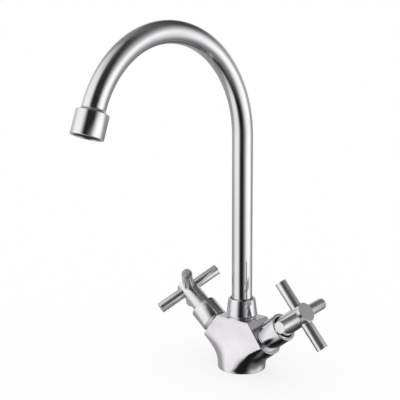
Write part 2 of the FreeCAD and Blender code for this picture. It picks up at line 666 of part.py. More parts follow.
# ================================================================ cross handle
def across(shape, degrees):
    """Lay a piece made on Z across the hub, at the height of the arms."""
    return shape.rotated(V(0, 0, 0), V(0, 1, 0), 90).rotated(V(0, 0, 0), V(0, 0, 1), degrees)


def hub(screw_gap):
    """Solid hub: broached from below, with a pocket and a tapped hole for each arm and a
    tapped hole for the set screw."""
    body = turned((0, HUB_FOOT), (HUB_R - EDGE_BREAK, HUB_FOOT), (HUB_R, HUB_FOOT + EDGE_BREAK),
                  (HUB_R, HUB_END - EDGE_BREAK), (HUB_R - EDGE_BREAK, HUB_END), (0, HUB_END))
    body = body.cut(spline(SEAT_FIT, HUB_FOOT - PAST, SPLINE_TOP + SPLINE_SPARE))
    pocket = rod(ARM_R + SEAT_FIT, ARM_SEAT, HUB_R + PAST)
    pocket = pocket.fuse(rod(ARM_STUD_R + THREAD_FIT, ARM_STUD_END - SEAT_FIT, ARM_SEAT + PAST))
    for i in range(ARM_COUNT):
        body = body.cut(across(pocket, 360.0 * i / ARM_COUNT).translated(V(0, 0, ARM_AXIS)))
    hole = across(rod(SCREW_R + THREAD_FIT, 0, HUB_R + PAST), screw_angle(screw_gap))
    return body.cut(hole.translated(V(0, 0, SCREW_AXIS)))


def screw_angle(screw_gap):
    """The set screw lies half way between two arms."""
    return 360.0 / ARM_COUNT * (screw_gap + 0.5)


def arm(index):
    """Round bar with a threaded stud at its inner end and a broken edge at its tip."""
    bar = turned((0, ARM_STUD_END), (ARM_STUD_R, ARM_STUD_END), (ARM_STUD_R, ARM_SEAT), (ARM_R, ARM_SEAT),
                 (ARM_R, ARM_TIP - EDGE_BREAK), (ARM_R - EDGE_BREAK, ARM_TIP), (0, ARM_TIP))
    return across(bar, 360.0 * index / ARM_COUNT).translated(V(0, 0, ARM_AXIS))


def set_screw(screw_gap):
    """Headless screw that locks the hub on the splines, with a hexagon socket."""
    screw = rod(SCREW_R, SPLINE_R + SEAT_FIT, SCREW_HEAD)
    corners = [polar(SCREW_KEY_R, 60 * i) for i in range(6)]
    key = prism(corners, SCREW_HEAD - SCREW_KEY_DEPTH, SCREW_HEAD + PAST)
    return across(screw.cut(key), screw_angle(screw_gap)).translated(V(0, 0, SCREW_AXIS))


# ================================================================ assembly
def pieces():
    """Every piece of the mixer in its place, by name."""
    made = {
        "mixer_body": mixer_body(),
        "base_seal": base_seal(),
        "spout_collar": spout_collar(),
        "spout_lower_slide_ring": lower_slide_ring(),
        "spout_upper_slide_ring": upper_slide_ring(),
        "spout_ferrule": spout_ferrule(),
        "spout_seals": spout_seals(),
        "spout_tube": spout_tube(),
        "aerator_adaptor": aerator_adaptor(),
        "aerator_housing": aerator_housing(),
        "aerator_washer": aerator_washer(),
        "aerator_screen": aerator_screen(),
        "aerator_insert": aerator_insert(),
    }
    for name, half_turn, turn, screw_gap in SIDES:
        fixed = {
            "carrier_ring": carrier_ring(),
            "sleeve": sleeve(),
            "bonnet": bonnet(),
            "bonnet_seal": bonnet_seal(),
            "seat_seal": seat_seal(),
            "fixed_disc": fixed_disc(),
        }
        turning = {
            "moving_disc": moving_disc(),
            "stem": stem(turn),
            "stem_seal": stem_seal(),
            "stem_clip": stem_clip(),
        }
        handle = {
            "hub": hub(screw_gap),
            "set_screw": set_screw(screw_gap),
        }
        for i in range(ARM_COUNT):
            handle["arm_%d" % (i + 1)] = arm(i)
        for piece, shape in fixed.items():
            made[name + "_" + piece] = on_valve(shape, half_turn)
        for piece, shape in turning.items():
            made[name + "_" + piece] = on_valve(shape, half_turn)
        for piece, shape in handle.items():
            made[name + "_" + piece] = on_valve(shape, half_turn, turn)
    return made


os.makedirs("parts", exist_ok=True)
for node, shape in pieces().items():
    shape.exportStep("parts/" + node + ".step")
    state = "ok" if shape.isValid() else "INVALID"
    print(node, len(shape.Solids), "solid", round(shape.Volume, 1), "mm3", state)
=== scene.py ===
# %% [markdown]
# # A two-handle kitchen mixer, dressed for its picture
#
# The engineer's model of this tap comes in as a fixed frame: every piece has its real size and
# place, and its moving bodies are named. This script puts the finish on it. Turned pieces that
# catch the light get a finer mesh with rounded edges, the rest keep the engineer's solid, and
# every piece gets a material that is worked out by nodes.

# %% Load the frame
import bpy
import bmesh
import json
import math
from mathutils import Matrix, Vector


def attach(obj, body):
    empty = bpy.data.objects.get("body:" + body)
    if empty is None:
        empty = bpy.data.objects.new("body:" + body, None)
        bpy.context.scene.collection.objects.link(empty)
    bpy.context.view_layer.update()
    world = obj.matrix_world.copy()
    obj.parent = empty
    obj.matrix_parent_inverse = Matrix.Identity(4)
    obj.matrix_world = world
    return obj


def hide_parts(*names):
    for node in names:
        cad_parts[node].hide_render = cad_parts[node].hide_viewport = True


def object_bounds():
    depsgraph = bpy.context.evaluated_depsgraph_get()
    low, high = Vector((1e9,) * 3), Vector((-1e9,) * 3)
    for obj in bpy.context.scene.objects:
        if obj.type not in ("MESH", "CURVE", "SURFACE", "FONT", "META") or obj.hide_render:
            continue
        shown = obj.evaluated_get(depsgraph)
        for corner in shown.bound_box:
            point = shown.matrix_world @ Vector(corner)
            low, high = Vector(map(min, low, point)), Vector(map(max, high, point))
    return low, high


MM = 0.001
PER_METRE = 1000.0

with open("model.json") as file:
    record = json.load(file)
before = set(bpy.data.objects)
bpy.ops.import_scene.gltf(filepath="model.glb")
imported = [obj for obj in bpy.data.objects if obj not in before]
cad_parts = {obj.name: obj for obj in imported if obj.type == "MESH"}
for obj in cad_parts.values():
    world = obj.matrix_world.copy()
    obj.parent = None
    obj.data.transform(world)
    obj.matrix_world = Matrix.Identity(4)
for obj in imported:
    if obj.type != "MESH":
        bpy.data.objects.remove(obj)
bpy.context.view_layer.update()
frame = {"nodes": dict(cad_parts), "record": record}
nodes = frame["nodes"]

# %% [markdown]
# ## Sizes
#
# Blender works in metres, and a tap is drawn in millimetres, so sizes are written in mm and
# multiplied by MM. Three placements carry every turned piece from the lathe, where it is made round
# the Z axis, to its place: straight up on the deck, out along a leaning valve, or down out of
# the end of the spout.

# %% Placements
VALVE_TILT = math.radians(37.5)
VALVE_CROSS_H = 13.5 * MM
TUBE_R = 11.0 * MM
TUBE_WALL = 1.2 * MM
TUBE_FOOT_H = 72.1 * MM
ARC_R = 104.5 * MM
ARC_H = 253.1 * MM
ARC_SWEEP = math.radians(159.3)
OUTLET_TURN = ARC_SWEEP + math.radians(1.6)
HANDLE_TURNS = {"left": math.radians(52.5), "right": math.radians(5.7)}


def valve_place(side, turn=0.0):
    """Placement along a valve axis: local Z runs out of the body."""
    out = Vector((math.cos(VALVE_TILT), 0, math.sin(VALVE_TILT)))
    up = Vector((-math.sin(VALVE_TILT), 0, math.cos(VALVE_TILT)))
    lean = Matrix((Vector((0, 1, 0)), up, out)).transposed().to_4x4()
    half = math.pi if side == "left" else 0.0
    lift = Matrix.Translation((0, 0, VALVE_CROSS_H))
    return lift @ Matrix.Rotation(half, 4, "Z") @ lean @ Matrix.Rotation(turn, 4, "Z")


tube_end = Vector((0, ARC_R * (math.cos(ARC_SWEEP) - 1), ARC_H + ARC_R * math.sin(ARC_SWEEP)))
outlet_place = Matrix.Translation(tube_end) @ Matrix.Rotation(OUTLET_TURN, 4, "X")
print("end of the tube in mm:", [round(PER_METRE * c, 1) for c in tube_end])

# %% [markdown]
# ## The camera
#
# The picture was taken from the front right, a little above the level of the handles, with a
# fairly long lens. A camera in Blender looks down its own -Z, so its placement is built from
# the direction that points back at the photographer.

# %% Camera
VIEW_AZIMUTH = math.radians(42.48)
VIEW_ELEVATION = math.radians(9.18)
VIEW_ROLL = math.radians(-0.26)
VIEW_LENS = 74.1
CAMERA_PLACE = (551.0 * MM, -668.3 * MM, 324.92 * MM)

back = Vector((math.sin(VIEW_AZIMUTH) * math.cos(VIEW_ELEVATION),
               -math.cos(VIEW_AZIMUTH) * math.cos(VIEW_ELEVATION), math.sin(VIEW_ELEVATION)))
right = Vector((math.cos(VIEW_AZIMUTH), math.sin(VIEW_AZIMUTH), 0))
level = Matrix((right, back.cross(right), back)).transposed().to_4x4()
camera_data = bpy.data.cameras.new("camera")
camera_data.lens = VIEW_LENS
camera = bpy.data.objects.new("camera", camera_data)
camera.matrix_world = Matrix.Translation(CAMERA_PLACE) @ level @ Matrix.Rotation(VIEW_ROLL, 4, "Z")
bpy.context.scene.collection.objects.link(camera)
bpy.context.scene.camera = camera
print("camera at", [round(c, 3) for c in camera.location])

# %% [markdown]
# ## Shared shader groups
#
# Two effects are used by more than one finish, so each is a node group with its own inputs.
# *Brushing* stretches a fine noise along the bar, as an abrasive belt leaves it. *Handling*
# is the faint cloudy haze that fingers and water leave on plated metal.

# %% Node helpers
def new_group(name, inputs, outputs):
    """An empty shader group with named sockets."""
    group = bpy.data.node_groups.new(name, "ShaderNodeTree")
    for socket, kind, value in inputs:
        made = group.interface.new_socket(socket, in_out="INPUT", socket_type=kind)
        if value is not None:
            made.default_value = value
    for socket, kind in outputs:
        group.interface.new_socket(socket, in_out="OUTPUT", socket_type=kind)
    start = group.nodes.new("NodeGroupInput")
    end = group.nodes.new("NodeGroupOutput")
    return group, start, end


def add(tree, kind, links=None, **settings):
    """A node with its settings, and links or values for its inputs by name or number."""
    node = tree.nodes.new(kind)
    for key, value in settings.items():
        setattr(node, key, value)
    for key, value in (links or {}).items():
        if isinstance(value, bpy.types.NodeSocket):
            tree.links.new(value, node.inputs[key])
        else:
            node.inputs[key].default_value = value
    return node


def math_node(tree, operation, *values):
    """The output of a Math node on links or plain numbers."""
    return add(tree, "ShaderNodeMath", dict(enumerate(values)), operation=operation).outputs[0]


# %% Brushing
brushing, start, end = new_group(
    "brushing",
    [("Vector", "NodeSocketVector", None), ("Lines per mm", "NodeSocketFloat", 1.0),
     ("Length mm", "NodeSocketFloat", 12.0)],
    [("Streak", "NodeSocketFloat")])
across = math_node(brushing, "MULTIPLY", start.outputs["Lines per mm"], PER_METRE)
along = math_node(brushing, "DIVIDE", PER_METRE, start.outputs["Length mm"])
stretch = add(brushing, "ShaderNodeCombineXYZ", {"X": across, "Y": across, "Z": along})
scaled = add(brushing, "ShaderNodeVectorMath",
             {0: start.outputs["Vector"], 1: stretch.outputs[0]}, operation="MULTIPLY")
grain = add(brushing, "ShaderNodeTexNoise",
            {"Vector": scaled.outputs[0], "Scale": 1.0, "Detail": 3.0, "Roughness": 0.6})
brushing.links.new(grain.outputs["Fac"], end.inputs["Streak"])

# %% Handling
handling, start, end = new_group(
    "handling",
    [("Vector", "NodeSocketVector", None), ("Size mm", "NodeSocketFloat", 20.0)],
    [("Haze", "NodeSocketFloat")])
size = math_node(handling, "DIVIDE", PER_METRE, start.outputs["Size mm"])
cloud = add(handling, "ShaderNodeTexNoise",
            {"Vector": start.outputs["Vector"], "Scale": size, "Detail": 4.0,
             "Roughness": 0.55, "Distortion": 0.4})
spread = add(handling, "ShaderNodeMapRange",
             {"Value": cloud.outputs["Fac"], "From Min": 0.35, "From Max": 0.7})
handling.links.new(spread.outputs[0], end.inputs["Haze"])
print("groups:", [g.name for g in bpy.data.node_groups])


# %% [markdown]
# ## Finishes
#
# Everything that shows is brass under chrome plate. The spout, its collar and the outlet are
# polished until they mirror the room. The cast body is polished too, but its skin is never as
# even. The handles are brushed along their bars, so they throw the light in streaks, and the
# rings under the sleeves get painted shade in their grooves, a darker colour there. Each of
# those lines follows its own piece, so these two finishes are made with the pieces further down.

# %% Metal
HAZE_TONE = 0.94
STREAK_RANGE = (0.3, 0.7)
STREAK_SHADE = 3
STREAKS_PER_MM = 0.7
STREAK_LENGTH = 60.0
# The share of the colour left at the bottom of a ring's grooves: painted shade.
GROOVE_SHADE_TONE = 0.08


def darken(tree, colour, factor):
    """A colour times a number, both of them sockets."""
    product = add(tree, "ShaderNodeVectorMath", {0: colour}, operation="SCALE")
    tree.links.new(factor, product.inputs["Scale"])
    return product.outputs[0]


def metal(name, colour, rough, rough_spread, haze_mm, place=None, streak=0.0, groove=None,
          metallic=1.0):
    """A plated or bare metal with a cloudy roughness. `streak` asks for brushing along local Z.
    `groove` asks for painted shade in the grooves round it: a darker colour between their
    radius and the ring's, in mm."""
    made = bpy.data.materials.new(name)
    made.use_nodes = True
    tree = made.node_tree
    shader = tree.nodes["Principled BSDF"]
    shader.inputs["Metallic"].default_value = metallic
    where = add(tree, "ShaderNodeTexCoord").outputs["Object"]
    if place is not None:
        turned_back = place.inverted()
        mapping = add(tree, "ShaderNodeMapping", {"Vector": where})
        mapping.inputs["Rotation"].default_value = turned_back.to_euler()
        mapping.inputs["Location"].default_value = turned_back.translation
        where = mapping.outputs[0]
    haze = add(tree, "ShaderNodeGroup", node_tree=handling)
    tree.links.new(where, haze.inputs["Vector"])
    haze.inputs["Size mm"].default_value = haze_mm
    dull = add(tree, "ShaderNodeMapRange",
               {"Value": haze.outputs["Haze"], "To Min": rough, "To Max": rough + rough_spread})
    roughness = dull.outputs[0]
    tone = add(tree, "ShaderNodeMix", {0: haze.outputs["Haze"]}, data_type="RGBA")
    tone.inputs[6].default_value = (*colour, 1)
    tone.inputs[7].default_value = (*[HAZE_TONE * c for c in colour], 1)
    base = tone.outputs[2]
    if streak:
        brush = add(tree, "ShaderNodeGroup", node_tree=brushing)
        tree.links.new(where, brush.inputs["Vector"])
        brush.inputs["Lines per mm"].default_value = STREAKS_PER_MM
        brush.inputs["Length mm"].default_value = STREAK_LENGTH
        given = {"Value": brush.outputs["Streak"], "From Min": STREAK_RANGE[0],
                 "From Max": STREAK_RANGE[1]}
        lined = add(tree, "ShaderNodeMapRange", {**given, "To Min": -streak, "To Max": streak})
        roughness = math_node(tree, "ADD", roughness, lined.outputs[0])
        shine = add(tree, "ShaderNodeMapRange",
                    {**given, "To Min": 1.0 - STREAK_SHADE * streak, "To Max": 1.0})
        base = darken(tree, base, shine.outputs[0])
    # Painted shade: the colour darkens in the grooves, between their radius and the ring's.
    if groove:
        across = add(tree, "ShaderNodeVectorMath", {0: where, 1: (1, 1, 0)}, operation="MULTIPLY")
        radius = add(tree, "ShaderNodeVectorMath", {0: across.outputs[0]}, operation="LENGTH")
        painted_groove_shade = add(tree, "ShaderNodeMapRange",
                            {"Value": radius.outputs["Value"], "From Min": groove[0] * MM,
                             "From Max": groove[1] * MM, "To Min": GROOVE_SHADE_TONE, "To Max": 1.0})
        base = darken(tree, base, painted_groove_shade.outputs[0])
    tree.links.new(base, shader.inputs["Base Color"])
    tree.links.new(roughness, shader.inputs["Roughness"])
    return made


bright_chrome = metal("bright_chrome", (0.86, 0.86, 0.88), rough=0.11, rough_spread=0.05,
                      haze_mm=30)
cast_chrome = metal("cast_chrome", (0.88, 0.85, 0.885), rough=0.10, rough_spread=0.08,
                    haze_mm=18)
raw_brass = metal("raw_brass", (0.72, 0.52, 0.26), rough=0.28, rough_spread=0.12, haze_mm=6)
steel = metal("steel", (0.56, 0.56, 0.57), rough=0.25, rough_spread=0.1, haze_mm=5)
print("metals:", len(bpy.data.materials))


# %% [markdown]
# The soft and hard pieces inside are plain: black rubber, white acetal and pale ceramic. They
# are dielectrics, so their colour comes from the base and their sheen from the coat of light
# that any smooth plastic shows. A little noise keeps them from looking like paint. The near-black
# plastic is painted shade: the grid in the outlet is given it for the dark inside its mouth.

# %% Plastics, rubber and ceramic
GRAIN_TONE = 0.85
GRAIN_ROUGH = 0.08


def moulded(name, colour, rough, grain_mm, depth_mm):
    """A dielectric with a fine moulded grain."""
    made = bpy.data.materials.new(name)
    made.use_nodes = True
    tree = made.node_tree
    shader = tree.nodes["Principled BSDF"]
    where = add(tree, "ShaderNodeTexCoord").outputs["Object"]
    grain = add(tree, "ShaderNodeTexNoise",
                {"Vector": where, "Scale": PER_METRE / grain_mm, "Detail": 3.0})
    tone = add(tree, "ShaderNodeMix", {0: grain.outputs["Fac"]}, data_type="RGBA")
    tone.inputs[6].default_value = (*colour, 1)
    tone.inputs[7].default_value = (*[GRAIN_TONE * c for c in colour], 1)
    tree.links.new(tone.outputs[2], shader.inputs["Base Color"])
    dull = add(tree, "ShaderNodeMapRange",
               {"Value": grain.outputs["Fac"], "To Min": rough - GRAIN_ROUGH,
                "To Max": rough + GRAIN_ROUGH})
    tree.links.new(dull.outputs[0], shader.inputs["Roughness"])
    relief = add(tree, "ShaderNodeBump",
                 {"Height": grain.outputs["Fac"], "Strength": 1.0, "Distance": depth_mm * MM})
    tree.links.new(relief.outputs[0], shader.inputs["Normal"])
    return made


rubber = moulded("rubber", (0.025, 0.025, 0.027), rough=0.7, grain_mm=0.6, depth_mm=0.02)
plastic = moulded("plastic", (0.55, 0.55, 0.54), rough=0.45, grain_mm=0.8, depth_mm=0.01)
ceramic = moulded("ceramic", (0.82, 0.80, 0.75), rough=0.2, grain_mm=0.3, depth_mm=0.002)
shade_painted_plastic = moulded("shade_painted_plastic", (0.06, 0.06, 0.065), rough=0.45, grain_mm=0.8, depth_mm=0.01)

# %% [markdown]
# ## From the lathe
#
# A turned piece is half an outline in the XZ plane, spun once round Z. The corners that the
# hand or the light would find are rounded first, by a vertex bevel on the outline, which then
# costs nothing more. After the spin the seam is merged and the faces are made to point out.

# %% Lathe
AROUND = 96
SEAM = 0.001 * MM


def lathe(outline, rounds=None, closed=True, steps=4):
    """Spin an outline of (radius, height) points in mm round Z. `rounds` gives the rounding in
    mm of the corners that have one, by their number in the outline."""
    bm = bmesh.new()
    corners = [bm.verts.new((r * MM, 0, z * MM)) for r, z in outline]
    for a, b in zip(corners, corners[1:] + (corners[:1] if closed else [])):
        bm.edges.new((a, b))
    by_size = {}
    for number, size in (rounds or {}).items():
        by_size.setdefault(size, []).append(corners[number])
    for size, chosen in by_size.items():
        bmesh.ops.bevel(bm, geom=chosen, offset=size * MM, affect="VERTICES", segments=steps,
                        profile=0.5, material=-1)
    bmesh.ops.spin(bm, geom=bm.verts[:] + bm.edges[:], cent=(0, 0, 0), axis=(0, 0, 1),
                   angle=2 * math.pi, steps=AROUND, use_merge=True, use_duplicate=False)
    bmesh.ops.remove_doubles(bm, verts=bm.verts, dist=SEAM)
    bmesh.ops.recalc_face_normals(bm, faces=bm.faces)
    return bm


# %% Finishing a piece
SHARP = math.radians(28)


def piece(name, bm, body, node, material, place=None):
    """Turn a bmesh into a finished object in its place, riding on its body instead of a node."""
    if place is not None:
        bmesh.ops.transform(bm, matrix=place, verts=bm.verts)
    for edge in bm.edges:
        edge.smooth = len(edge.link_faces) == 2 and edge.calc_face_angle(0) < SHARP
    for face in bm.faces:
        face.smooth = True
    mesh = bpy.data.meshes.new(name)
    bm.to_mesh(mesh)
    bm.free()
    made = bpy.data.objects.new(name, mesh)
    bpy.context.scene.collection.objects.link(made)
    made.data.materials.append(material)
    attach(made, body)
    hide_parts(node)
    return made


# %% Copying an engineer's solid
SAME_POINT = 0.002 * MM
BY_AREA = 100


def smooth_copy(node, body, material):
    """A copy of a node's mesh with its loose triangles joined and its curved faces smooth."""
    bm = bmesh.new()
    bm.from_mesh(nodes[node].data)
    bmesh.ops.remove_doubles(bm, verts=bm.verts, dist=SAME_POINT)
    made = piece(node + "_fine", bm, body, node, material)
    weighted = made.modifiers.new("weighted", "WEIGHTED_NORMAL")
    weighted.keep_sharp = True
    weighted.weight = BY_AREA
    return made


# %% [markdown]
# ## The spout
#
# The gooseneck is one tube: a straight leg and a single bend of a little under half a turn.
# A circle is pushed up the leg and then spun about the centre of the bend, as a tube bender
# makes it. The outlet leans a little more than the end of the tube, so the bend is spun a little
# too far and cut off square to the outlet. Only the last stretch is offered to that cut, the
# part further out than a share of the bend's radius. The wall gets its thickness at the end.

# %% Gooseneck
BEND_STEPS = 128
LAST_STRETCH = 1.7

bm = bmesh.new()
foot = bmesh.ops.create_circle(bm, segments=AROUND, radius=TUBE_R)["verts"]
bmesh.ops.translate(bm, verts=foot, vec=(0, 0, TUBE_FOOT_H))
pushed = bmesh.ops.extrude_edge_only(bm, edges=bm.edges[:])["geom"]
top_verts = [v for v in pushed if isinstance(v, bmesh.types.BMVert)]
top_edges = [e for e in pushed if isinstance(e, bmesh.types.BMEdge)]
bmesh.ops.translate(bm, verts=top_verts, vec=(0, 0, ARC_H - TUBE_FOOT_H))
bmesh.ops.spin(bm, geom=top_verts + top_edges, cent=(0, -ARC_R, ARC_H), axis=(1, 0, 0),
               angle=OUTLET_TURN, steps=BEND_STEPS, use_merge=False, use_duplicate=False)
far_end = [v for v in bm.verts if v.co.y < -LAST_STRETCH * ARC_R]
near_cut = set(far_end)
for v in far_end:
    near_cut.update(v.link_edges)
    near_cut.update(v.link_faces)
out_of_spout = outlet_place.to_3x3() @ Vector((0, 0, 1))
bmesh.ops.bisect_plane(bm, geom=list(near_cut), plane_co=tube_end, plane_no=out_of_spout,
                       clear_outer=True)
bmesh.ops.recalc_face_normals(bm, faces=bm.faces)
bmesh.ops.solidify(bm, geom=bm.faces[:], thickness=TUBE_WALL)
tube = piece("gooseneck", bm, "spout", "spout_tube", bright_chrome)
top_height = round(PER_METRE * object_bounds()[1].z, 1)
print("gooseneck faces:", len(tube.data.polygons), "top in mm:", top_height)

# %% [markdown]
# At its end the tube widens into a short flare, and a plain cylinder screws on over it. The
# flare is a curve, so its outline is a few points on that curve. The cylinder's mouth has a
# lip, and the plastic grid of the aerator sits just inside it.

# %% Flare and aerator housing
FLARE_R = 13.2
FLARE_LENGTH = 3.7
FLARE_STEPS = 8
OUTLET_BORE_R = 8.75
SPIGOT_TIP_R = 9.6
SPIGOT_ROOT_R = 9.75
SPIGOT_LENGTH = 2.4
THREAD_R = 11.95
THREAD_END = 12.3
flare = [(OUTLET_BORE_R, -SPIGOT_LENGTH), (SPIGOT_TIP_R, -SPIGOT_LENGTH), (SPIGOT_ROOT_R, 0.0)]
for i in range(FLARE_STEPS + 1):
    t = i / FLARE_STEPS
    flare.append((TUBE_R / MM + (FLARE_R - TUBE_R / MM) * t ** 2, FLARE_LENGTH * t))
flare += [(THREAD_R, FLARE_LENGTH), (THREAD_R, THREAD_END), (OUTLET_BORE_R, THREAD_END)]
piece("outlet_flare", lathe(flare), "spout", "aerator_adaptor", bright_chrome,
      outlet_place)

HOUSING_R = 15.1
HOUSING_END = 26.2
HOUSING_THREAD_R = 12.0
CHAMBER_R = 13.2
LIP_R = 12.3
LIP_START = 25.0
housing = [(HOUSING_THREAD_R, FLARE_LENGTH), (HOUSING_R, FLARE_LENGTH), (HOUSING_R, HOUSING_END),
           (LIP_R, HOUSING_END), (LIP_R, LIP_START), (CHAMBER_R, LIP_START),
           (CHAMBER_R, THREAD_END), (HOUSING_THREAD_R, THREAD_END)]
piece("outlet_housing", lathe(housing, {1: 0.7, 2: 0.6, 3: 0.5}), "spout", "aerator_housing",
      bright_chrome, outlet_place)

# %% [markdown]
# ## The collar
#
# The conical nut at the foot of the spout has a soft shoulder where it meets the body and a
# rounded rim. Its mouth stands a millimetre clear of the tube all round, which leaves a dark
# ring.

# %% Collar
COLLAR_BORE_R = 13.05
COLLAR_FOOT_R = 15.3
COLLAR_FOOT_H = 57.7
SHOULDER_R = 16.9
SHOULDER_H = 59.3
COLLAR_TOP_R = 14.5
COLLAR_TOP_H = 77.9
COLLAR_MOUTH_R = 12.2
COLLAR_MOUTH_H = 73.1
collar = [(COLLAR_BORE_R, COLLAR_FOOT_H), (COLLAR_FOOT_R, COLLAR_FOOT_H), (SHOULDER_R, SHOULDER_H),
          (COLLAR_TOP_R, COLLAR_TOP_H), (COLLAR_MOUTH_R, COLLAR_TOP_H),
          (COLLAR_MOUTH_R, COLLAR_MOUTH_H), (COLLAR_BORE_R, COLLAR_MOUTH_H)]
piece("collar_nut", lathe(collar, {2: 1.2, 3: 0.9, 4: 0.5}, steps=6), "mixer", "spout_collar",
      bright_chrome)

# %% [markdown]
# ## The cast body
#
# The body goes from a round foot to wide flat shoulders in one sweep. The engineer's solid
# has that shape already, so it is copied, its triangles are joined, and its normals are
# weighted by area so that the flat front stays flat up to its rounded rims.

# %% Body
smooth_copy("mixer_body", "mixer", cast_chrome)

# %% [markdown]
# ## Valve rings and sleeves
#
# Between body and sleeve sits a ring with two fine grooves, and its colour is darkened in them
# as painted shade. The sleeve is a plain cylinder with a lipped mouth, and the hub turns in that
# mouth with a gap all round.

# %% Rings and sleeves
PORT_FACE = 43.8
RING_R = 14.7
RING_BORE_R = 12.0
GROOVE_R = 14.3
GROOVE_HALF = 0.45
GROOVES = (45.7, 47.6)
SKIRT_R = 13.5
SKIRT_END = 55.5
SLEEVE_R = 15.25
SLEEVE_BORE_R = 13.55
SLEEVE_START = 49.5
SLEEVE_END = 71.3
MOUTH_R = 11.9
MOUTH_START = 69.3
# The radii in mm between which each ring's colour is darkened: painted shade in its grooves.
GROOVE_SHADE_BETWEEN = (GROOVE_R + 0.05, RING_R - 0.02)
ring = [(RING_BORE_R, PORT_FACE), (RING_R, PORT_FACE)]
for middle in GROOVES:
    ring += [(RING_R, middle - GROOVE_HALF), (GROOVE_R, middle), (RING_R, middle + GROOVE_HALF)]
ring += [(RING_R, SLEEVE_START), (SKIRT_R, SLEEVE_START), (SKIRT_R, SKIRT_END),
         (RING_BORE_R, SKIRT_END)]
sleeve = [(SLEEVE_BORE_R, SLEEVE_START), (SLEEVE_R, SLEEVE_START), (SLEEVE_R, SLEEVE_END),
          (MOUTH_R, SLEEVE_END), (MOUTH_R, MOUTH_START), (SLEEVE_BORE_R, MOUTH_START)]
for side in HANDLE_TURNS:
    place = valve_place(side)
    ring_chrome = metal("ring_chrome_" + side, (0.80, 0.80, 0.82), rough=0.10, rough_spread=0.05,
                        haze_mm=12, place=place, groove=GROOVE_SHADE_BETWEEN)
    piece(side + "_grooved_ring", lathe(ring, {1: 0.25, 8: 0.25}), "mixer",
          side + "_carrier_ring", ring_chrome, place)
    piece(side + "_shroud", lathe(sleeve, {1: 0.3, 2: 0.6, 3: 0.5}), "mixer",
          side + "_sleeve", bright_chrome, place)

# %% [markdown]
# ## Cross handles
#
# Each handle is a round hub with four bars screwed into it. The hub keeps the engineer's
# solid, because its four pockets are cut to the bars. A bar is a plain cylinder with a small
# rounding at its tip.

# %% Handles
ARM_R = 6.1
ARM_SEAT = 8.0
ARM_TIP = 39.8
ARM_AXIS = 99.0
STUD_R = 2.5
STUD_END = 3.6
ARM_COUNT = 4
bar = [(0.0, STUD_END), (STUD_R, STUD_END), (STUD_R, ARM_SEAT), (ARM_R, ARM_SEAT),
       (ARM_R, ARM_TIP), (0.0, ARM_TIP)]
for side, turn in HANDLE_TURNS.items():
    body = side + "_handle"
    hub_place = valve_place(side, turn)
    hub_chrome = metal("hub_chrome_" + side, (0.90, 0.90, 0.905), rough=0.22, rough_spread=0.05,
                       haze_mm=14, place=hub_place, streak=0.03)
    smooth_copy(side + "_hub", body, hub_chrome)
    for number in range(ARM_COUNT):
        lay = (Matrix.Rotation(2 * math.pi / ARM_COUNT * number, 4, "Z")
               @ Matrix.Rotation(math.pi / 2, 4, "Y"))
        place = hub_place @ Matrix.Translation((0, 0, ARM_AXIS * MM)) @ lay
        name = "%s_bar_%d" % (side, number + 1)
        satin = metal(name + "_chrome", (0.96, 0.96, 0.965), rough=0.13, rough_spread=0.05,
                      haze_mm=14, place=place, streak=0.06, metallic=0.93)
        piece(name, lathe(bar, {4: 0.35}, closed=False), body,
              "%s_arm_%d" % (side, number + 1), satin, place)

# %% [markdown]
# ## What stays as the engineer drew it
#
# The valves, seals and slide rings are inside, so they keep their own meshes and only take
# the material of their slot.

# %% Inner pieces
SLOTS = {"rubber": rubber, "plastic": plastic, "ceramic": ceramic, "raw_brass": raw_brass,
         "steel": steel}
for part in frame["record"]["subparts"]:
    node = nodes[part["node"]]
    if node.hide_render:
        continue
    node.data.materials.clear()
    node.data.materials.append(SLOTS[part["material_slot"]])
# The grid in the outlet takes the near-black plastic: painted shade for the dark inside its mouth.
nodes["aerator_insert"].data.materials[0] = shade_painted_plastic

# %% [markdown]
# ## The studio
#
# Chrome has no colour of its own: it shows the room. In the picture an upright tube shows
# white, black, white, as it does between large white panels with a dark room in front. Here
# the panels are drawn in the world, as soft-edged patches on the directions that mirrored
# rays look in. One node group makes one panel. Its angles are in degrees, round and up from
# the direction of the camera, and the lean says how far a panel slants to one side as it goes
# up, as a panel on a tilted stand does. The camera itself sees plain white.

# %% One panel of light
soft_panel, start, end = new_group(
    "soft_panel",
    [("Azimuth", "NodeSocketFloat", 0.0), ("Elevation", "NodeSocketFloat", 0.0),
     ("Turn", "NodeSocketFloat", 0.0), ("Half width", "NodeSocketFloat", 30.0),
     ("Side edge", "NodeSocketFloat", 10.0), ("Rise", "NodeSocketFloat", 0.0),
     ("Half height", "NodeSocketFloat", 30.0), ("Top edge", "NodeSocketFloat", 10.0),
     ("Light", "NodeSocketFloat", 1.0), ("Lean", "NodeSocketFloat", 0.0)],
    [("Light", "NodeSocketFloat")])


def soft_edge(distance, half, soft):
    """1 inside a band about zero, 0 outside it, with a smooth edge."""
    away = math_node(soft_panel, "ABSOLUTE", distance)
    inner = math_node(soft_panel, "SUBTRACT", half, soft)
    outer = math_node(soft_panel, "ADD", half, soft)
    return add(soft_panel, "ShaderNodeMapRange",
               {"Value": away, "From Min": inner, "From Max": outer, "To Min": 1.0, "To Max": 0.0},
               interpolation_type="SMOOTHSTEP").outputs[0]


given = start.outputs
above = math_node(soft_panel, "SUBTRACT", given["Elevation"], given["Rise"])
slant = math_node(soft_panel, "MULTIPLY", above, given["Lean"])
beside = math_node(soft_panel, "SUBTRACT", given["Azimuth"], given["Turn"])
beside = math_node(soft_panel, "SUBTRACT", beside, slant)
beside = math_node(soft_panel, "WRAP", beside, 180.0, -180.0)
patch = math_node(soft_panel, "MULTIPLY",
                  soft_edge(beside, given["Half width"], given["Side edge"]),
                  soft_edge(above, given["Half height"], given["Top edge"]))
soft_panel.links.new(math_node(soft_panel, "MULTIPLY", patch, given["Light"]), end.inputs["Light"])

